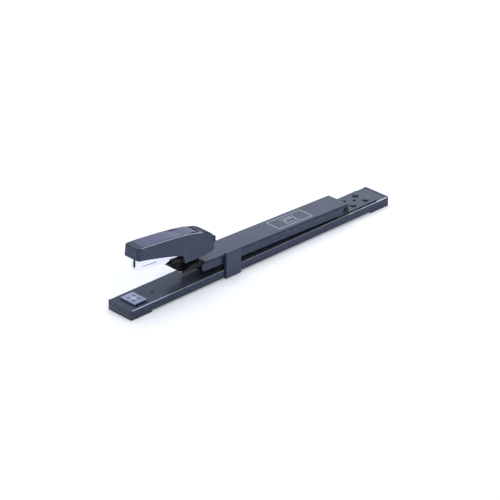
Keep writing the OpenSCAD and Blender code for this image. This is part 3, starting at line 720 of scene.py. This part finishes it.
def squashed(node, name, material, edge=None):
    """A spring's merged copy with a mesh of its own, in place of the node that stands for it."""
    piece = copy_of(node, name)
    if edge:
        modify(piece, "BEVEL", width=edge, segments=2, limit_method="ANGLE",
               angle_limit=math.radians(40), use_clamp_overlap=True)
    smooth(piece, 60)
    dress(piece, material)
    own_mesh(piece)
    seat(piece, node)
    return piece


# ---------------------------------------------------------------- pieces

class STAPLER_OT_base(bpy.types.Operator):
    """Tray, top plate and feet of the base"""
    bl_idname = "stapler.base"
    bl_label = "Base"

    def execute(self, context):
        low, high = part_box("base_tray")
        edge = sizes().sheet_edge
        rim_short, rim_deep, rim_wide = 3, 0.6 * MM, 1.75 * MM
        rim_ends = (low.x / MM + rim_short, high.x / MM - rim_short)
        tray = softened("base_tray", "tray", edge * 1.6, enamel(), segments=3, cuts=rim_ends)
        # Partly painted highlight: the rim's top faces between the cut places get bare steel made
        # light grey, which draws a bright line along both long edges
        lay_material(tray, bare_rim_and_painted_highlight(), lambda co, n: (
            n.z > 0.35 and co.z > high.z - rim_deep and abs(co.y) > high.y - rim_wide
            and rim_ends[0] * MM < co.x < rim_ends[1] * MM))
        softened("base_plate", "top_plate", edge, plate_enamel())
        for node, name in (("front_foot", "front_sole"), ("rear_foot", "rear_sole")):
            softened(node, name, sizes().plastic_edge * 0.6, foot_rubber())
        return {"FINISHED"}


class STAPLER_OT_rear_bracket(bpy.types.Operator):
    """Riveted bracket at the rear, with the hinge pin and its clip"""
    bl_idname = "stapler.rear_bracket"
    bl_label = "Rear Bracket"

    def execute(self, context):
        softened("hinge_bracket", "rear_bracket", sizes().sheet_edge, enamel())
        softened("bracket_rivets", "bracket_rivet_heads", sizes().sheet_edge * 0.7,
                 rivet_black(), angle=30)
        # Painted shade: the steel hinge pin gets the near-black finish, for the dark rear end of
        # the arm
        paint_nodes(inner_black_and_painted_shade(), "hinge_pin")
        paint_nodes(pin_steel(), "hinge_clip")
        paint_nodes(inner_black_and_painted_shade(), "leaf_rivet")
        return {"FINISHED"}


class STAPLER_OT_anvil(bpy.types.Operator):
    """Turning anvil with its clinch marks, its post and its push button"""
    bl_idname = "stapler.anvil"
    bl_label = "Anvil"

    def execute(self, context):
        low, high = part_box("anvil_plate")
        anvil = softened("anvil_plate", "anvil_face", sizes().sheet_edge, anvil_zinc())
        mark_deep, mark_start, side_in, end_in = 0.6 * MM, 0.12 * MM, 4 * MM, 2 * MM
        # Painted shade: the faces inside the clinch pockets get the near-black finish instead of
        # zinc
        lay_material(anvil, inner_black_and_painted_shade(), lambda co, n: (
            n.z > 0.2 and high.z - mark_deep < co.z < high.z - mark_start
            and low.y + side_in < co.y < high.y - side_in
            and low.x + end_in < co.x < high.x - end_in))
        paint_nodes(pin_steel(), "anvil_post")
        softened("anvil_button", "anvil_push_button", sizes().plastic_edge * 0.6, foot_rubber())
        squashed("anvil_leaf_spring", "anvil_leaf", leaf_steel())
        return {"FINISHED"}


class STAPLER_OT_arm(bpy.types.Operator):
    """Long channel arm with its printed frame and the bracket that holds the head"""
    bl_idname = "stapler.arm"
    bl_label = "Arm"

    def execute(self, context):
        softened("arm_channel", "long_arm", sizes().sheet_edge, arm_enamel())
        softened("head_bracket", "arm_end_bracket", sizes().sheet_edge, inner_black_and_painted_shade())
        paint_nodes(inner_black_and_painted_shade(), "head_pivot_pin")
        paint_nodes(bush_nylon(), "pivot_bushes")
        paint_nodes(spring_steel(), "arm_return_spring")
        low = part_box("head_return_spring")[0]
        leaf = squashed("head_return_spring", "head_leaf_spring", leaf_steel(),
                        edge=0.1 * MM)
        tongue_half, tongue_rise = 4.1 * MM, 3.4 * MM
        # Painted shade: the leaf's up-facing faces and its raised tongue under the magazine get
        # the near-black finish; its edges stay bright steel
        lay_material(leaf, inner_black_and_painted_shade(), lambda co, n: (
            n.z > 0.5 or (abs(co.y) < tongue_half and co.z > low.z + tongue_rise)))
        return {"FINISHED"}


class STAPLER_OT_magazine(bpy.types.Operator):
    """Plated magazine with its rail, rod, pusher and the frame under it"""
    bl_idname = "stapler.magazine"
    bl_label = "Magazine"

    def execute(self, context):
        edge = sizes().sheet_edge
        softened("magazine_channel", "magazine", edge, magazine_chrome())
        softened("head_frame", "head_lugs", edge, inner_black_and_painted_shade())
        softened("staple_rail", "staple_rail_channel", edge * 0.6, rail_steel())
        softened("rod_end_plates", "rod_plates", edge * 0.6, rail_steel())
        softened("spring_seat", "spring_seat_plate", edge * 0.6, rail_steel())
        softened("pusher", "staple_pusher", sizes().plastic_edge * 0.3, pusher_plastic())
        paint_nodes(pin_steel(), "magazine_rivets", "handle_pin", "pusher_rod")
        paint_nodes(spring_steel(), "handle_return_spring")
        squashed("pusher_spring", "pusher_coil", spring_steel())
        return {"FINISHED"}


class STAPLER_OT_staples(bpy.types.Operator):
    """Strip of glued staples on the rail"""
    bl_idname = "stapler.staples"
    bl_label = "Staples"

    def execute(self, context):
        start, length, top, half, wire, leg, along = 3.7, 52.0, 7.9, 6.4, 0.5, 6.0, 0.46
        pitch = sizes().staple_pitch
        staple = box_piece("staples", (start * MM, -half * MM, (top - wire) * MM),
                           ((start + along) * MM, half * MM, top * MM))
        activate(staple)
        bpy.ops.object.mode_set(mode="EDIT")
        for side in (-1, 1):
            bpy.ops.mesh.select_all(action="SELECT")
            bpy.ops.mesh.bisect(plane_co=(0, side * (half - wire) * MM, 0), plane_no=(0, 1, 0))
        pick(staple, lambda co, n: n.z < -0.9 and abs(co.y) > (half - wire) * MM)
        bpy.ops.mesh.extrude_region_move(
            TRANSFORM_OT_translate={"value": (0, 0, -(leg - wire) * MM)})
        pick(staple, lambda co, way: abs(way.x) > 0.3 * MM and abs(co.y) > (half - 0.01) * MM
             and co.z > (top - 0.01) * MM, "EDGE")
        bpy.ops.mesh.bevel(offset=0.2 * MM, segments=1, affect="EDGES")
        bpy.ops.object.mode_set(mode="OBJECT")
        modify(staple, "ARRAY", count=int(length * MM / pitch), use_relative_offset=False,
               use_constant_offset=True, constant_offset_displace=(pitch, 0, 0))
        dress(staple, staple_wire())
        to_head(staple)
        seat(staple, "staple_strip")
        return {"FINISHED"}


class STAPLER_OT_handle(bpy.types.Operator):
    """Steel handle frame with the driver blade, under the cover"""
    bl_idname = "stapler.handle"
    bl_label = "Handle Frame"

    def execute(self, context):
        softened("handle_frame", "handle_channel", sizes().sheet_edge, inner_black_and_painted_shade())
        softened("driver_blade", "driver", sizes().sheet_edge * 0.5, pin_steel())
        paint_nodes(pin_steel(), "blade_rivets")
        return {"FINISHED"}


class STAPLER_OT_cover(bpy.types.Operator):
    """Moulded cover over the handle, with a pocket in its top"""
    bl_idname = "stapler.cover"
    bl_label = "Cover"

    def execute(self, context):
        u0, u1 = COVER_TOP[0][0], COVER_TOP[-1][0]
        cover = box_piece("head_cover", (u0 * MM, -COVER_LOW_HALF * MM, COVER_LOWEST * MM),
                          (u1 * MM, COVER_LOW_HALF * MM, COVER_HIGHEST * MM))
        activate(cover)
        bpy.ops.object.mode_set(mode="EDIT")
        pick(cover, lambda co, way: co.x < (u0 + 0.1) * MM and abs(way.z) > 10 * MM, "EDGE")
        bpy.ops.mesh.bevel(offset=sizes().cover_corner, segments=6, affect="EDGES")
        pick(cover, lambda co, n: co.z > 30 * MM, "VERT")
        bpy.ops.transform.resize(value=(1, COVER_TOP_HALF / COVER_LOW_HALF, 1))
        bpy.ops.object.mode_set(mode="OBJECT")
        stations = sorted({x for x, _z in COVER_TOP[1:-1]} | {x for x, _z in COVER_LOW[1:-1]}
                          | {POCKET_FRONT, POCKET_BACK})
        cut_across(cover, stations)
        raise_to_line(cover, COVER_TOP, True)
        raise_to_line(cover, COVER_LOW, False)
        bpy.ops.object.mode_set(mode="EDIT")
        pick(cover, lambda co, n: n.z > 0.6)
        bpy.ops.mesh.region_to_loop()
        bpy.ops.mesh.bevel(offset=sizes().cover_round, segments=3, affect="EDGES",
                           clamp_overlap=True)
        pick(cover, lambda co, n: n.z > 0.9 and POCKET_FRONT * MM < co.x < POCKET_BACK * MM
             and abs(co.y) < 8 * MM)
        bpy.ops.mesh.inset(thickness=POCKET_LEDGE * MM, use_boundary=True)
        bpy.ops.mesh.extrude_region_move(
            TRANSFORM_OT_translate={"value": (0, 0, -POCKET_DEPTH * MM)})
        pick(cover, lambda co, n: n.z < -0.3)
        bpy.ops.mesh.delete(type="FACE")
        pick(cover, lambda co, n: n.x > 0.9)
        rear_opening_top = 14 * MM
        bpy.ops.mesh.bisect(plane_co=(0, 0, rear_opening_top), plane_no=(0, 0, 1))
        pick(cover, lambda co, n: n.x > 0.9 and co.z < rear_opening_top and co.x > 115 * MM)
        bpy.ops.mesh.delete(type="FACE")
        bpy.ops.object.mode_set(mode="OBJECT")
        modify(cover, "SOLIDIFY", thickness=sizes().cover_wall, offset=-1,
               use_even_offset=True)
        modify(cover, "BEVEL", width=0.25 * MM, segments=2, limit_method="ANGLE",
               angle_limit=math.radians(50), use_clamp_overlap=True)
        smooth(cover, 35)
        dress(cover, cover_plastic())
        # Painted highlight: the middle band of the bevel along both top side edges gets a light
        # grey coated finish
        lay_material(cover, cover_painted_highlight(), lambda co, n: (
            0.5 < n.z < 0.88 and abs(n.y) > 0.4 and 0 < co.x < 104 * MM
            and abs(co.y) > (COVER_TOP_HALF - 1.6) * MM and co.z > 26 * MM))
        lay_material(cover, cover_shade(), lambda co, n: n.z > 0.5 and co.x > POCKET_BACK * MM)
        to_head(cover)
        seat(cover, "cover_shell")
        return {"FINISHED"}


class STAPLER_OT_cover_panel(bpy.types.Operator):
    """Softer panel that lies in the cover's pocket"""
    bl_idname = "stapler.cover_panel"
    bl_label = "Cover Panel"

    def execute(self, context):
        groove = sizes().panel_groove / MM
        floor_front, floor_back, floor_half = 2.4, 100.8, 10.85
        u0, u1, half = floor_front + groove, floor_back - 2 * groove, floor_half - groove
        panel = box_piece("cover_panel", (u0 * MM, -half * MM, 31.5 * MM),
                          (u1 * MM, half * MM, 33 * MM))
        activate(panel)
        cut_across(panel, [x for x, _z in COVER_TOP if u0 + 1 < x < u1 - 1])
        proud, sunk = 0.1, 1.05
        raise_to_line(panel, [(x, z + proud) for x, z in COVER_TOP], True)
        raise_to_line(panel, [(x, z - sunk) for x, z in COVER_TOP], False)
        bpy.ops.object.mode_set(mode="EDIT")
        pick(panel, lambda co, way: abs(abs(co.y) - half * MM) < 0.01 * MM
             and abs(way.z) > 0.5 * MM and (co.x < (u0 + 1) * MM or co.x > (u1 - 1) * MM), "EDGE")
        bpy.ops.mesh.bevel(offset=1.6 * MM, segments=4, affect="EDGES")
        pick(panel, lambda co, n: n.z > 0.8)
        bpy.ops.mesh.region_to_loop()
        bpy.ops.mesh.bevel(offset=0.35 * MM, segments=3, affect="EDGES")
        bpy.ops.object.mode_set(mode="OBJECT")
        smooth(panel, 35)
        dress(panel, panel_plastic())
        to_head(panel)
        seat(panel, "cover_inset")
        return {"FINISHED"}


class STAPLER_OT_catch(bpy.types.Operator):
    """Push knob at the cover's rear, and its spring"""
    bl_idname = "stapler.catch"
    bl_label = "Catch"

    def execute(self, context):
        softened("catch_button", "catch_knob", sizes().plastic_edge * 1.3, knob_plastic(),
                 segments=3)
        squashed("catch_spring", "catch_coil", spring_steel())
        return {"FINISHED"}


class STAPLER_OT_guide(bpy.types.Operator):
    """Sliding paper guide that wraps round the base"""
    bl_idname = "stapler.guide"
    bl_label = "Paper Guide"

    def execute(self, context):
        softened("paper_guide", "paper_stop", sizes().plastic_edge, guide_plastic(), segments=3)
        return {"FINISHED"}


class STAPLER_OT_stage(bpy.types.Operator):
    """Pale floor, soft studio light and the camera"""
    bl_idname = "stapler.stage"
    bl_label = "Stage"

    def execute(self, context):
        deselect()
        bpy.ops.mesh.primitive_plane_add(size=16)
        floor = bpy.context.active_object
        floor.name = "studio_floor"
        material = bpy.data.materials.new("Studio Floor")
        material.use_nodes = True
        shader = material.node_tree.nodes["Principled BSDF"]
        shader.inputs["Base Color"].default_value = (0.93, 0.93, 0.95, 1)
        shader.inputs["Roughness"].default_value = 0.9
        shader.inputs["Specular IOR Level"].default_value = 0.1
        shader.inputs["Emission Color"].default_value = (1.0, 0.93, 0.84, 1)
        shader.inputs["Emission Strength"].default_value = 0.2
        floor.data.materials.append(material)

        world = bpy.data.worlds.new("Studio")
        world.use_nodes = True
        background = world.node_tree.nodes["Background"]
        background.inputs["Color"].default_value = (0.80, 0.87, 1.0, 1)
        tree = world.node_tree
        split = tree.nodes.new("ShaderNodeSeparateXYZ")
        tree.links.new(tree.nodes.new("ShaderNodeTexCoord").outputs["Generated"],
                       split.inputs[0])
        fall = range_node(tree, split.outputs["X"], **WORLD_FALL)
        tree.links.new(fall, background.inputs["Strength"])
        context.scene.world = world
        context.scene.view_settings.view_transform = "Standard"

        for name, place, size, power in LIGHTS:
            light = bpy.data.lights.new(name, "AREA")
            light.shape = "SQUARE"
            light.size = size
            light.energy = power
            lamp = bpy.data.objects.new(name, light)
            context.scene.collection.objects.link(lamp)
            lamp.location = place
            lamp.rotation_euler = (-Vector(place)).to_track_quat("-Z", "Y").to_euler()

        azimuth, elevation = math.radians(CAMERA_AZIMUTH), math.radians(CAMERA_ELEVATION)
        back = Vector((math.sin(azimuth) * math.cos(elevation),
                       -math.cos(azimuth) * math.cos(elevation), math.sin(elevation)))
        right = (-back).cross(Vector((0, 0, 1))).normalized()
        up = right.cross(-back)
        data = bpy.data.cameras.new("Camera")
        data.sensor_width = 36
        data.lens = CAMERA_LENS
        camera = bpy.data.objects.new("Camera", data)
        context.scene.collection.objects.link(camera)
        camera.location = (back * sizes().camera_distance - right * CAMERA_LEFT * MM
                           + up * CAMERA_RISE * MM)
        camera.rotation_euler = (-back).to_track_quat("-Z", "Y").to_euler()
        context.scene.camera = camera
        return {"FINISHED"}


PIECES = (STAPLER_OT_base, STAPLER_OT_rear_bracket, STAPLER_OT_anvil, STAPLER_OT_arm,
          STAPLER_OT_magazine, STAPLER_OT_staples, STAPLER_OT_handle, STAPLER_OT_cover,
          STAPLER_OT_cover_panel, STAPLER_OT_catch, STAPLER_OT_guide, STAPLER_OT_stage)


class STAPLER_PT_sidebar(bpy.types.Panel):
    """Lists the pieces with the sizes and colours that shape them"""
    bl_idname = "STAPLER_PT_sidebar"
    bl_label = "Stapler"
    bl_space_type = "VIEW_3D"
    bl_region_type = "UI"
    bl_category = "Stapler"

    def draw(self, context):
        for group, kind in ((context.scene.stapler_sizes, StaplerSizes),
                            (context.scene.stapler_colours, StaplerColours)):
            box = self.layout.box()
            for key in kind.__annotations__:
                box.prop(group, key)
        for piece in PIECES:
            self.layout.operator(piece.bl_idname)


CLASSES = (StaplerSizes, StaplerColours, *PIECES, STAPLER_PT_sidebar)


def register():
    for kind in CLASSES:
        bpy.utils.register_class(kind)
    bpy.types.Scene.stapler_sizes = bpy.props.PointerProperty(type=StaplerSizes)
    bpy.types.Scene.stapler_colours = bpy.props.PointerProperty(type=StaplerColours)


def unregister():
    del bpy.types.Scene.stapler_sizes
    del bpy.types.Scene.stapler_colours
    for kind in reversed(CLASSES):
        bpy.utils.unregister_class(kind)


def main():
    register()
    for piece in PIECES:
        family, name = piece.bl_idname.split(".")
        getattr(getattr(bpy.ops, family), name)()


if __name__ == "__main__":
    main()
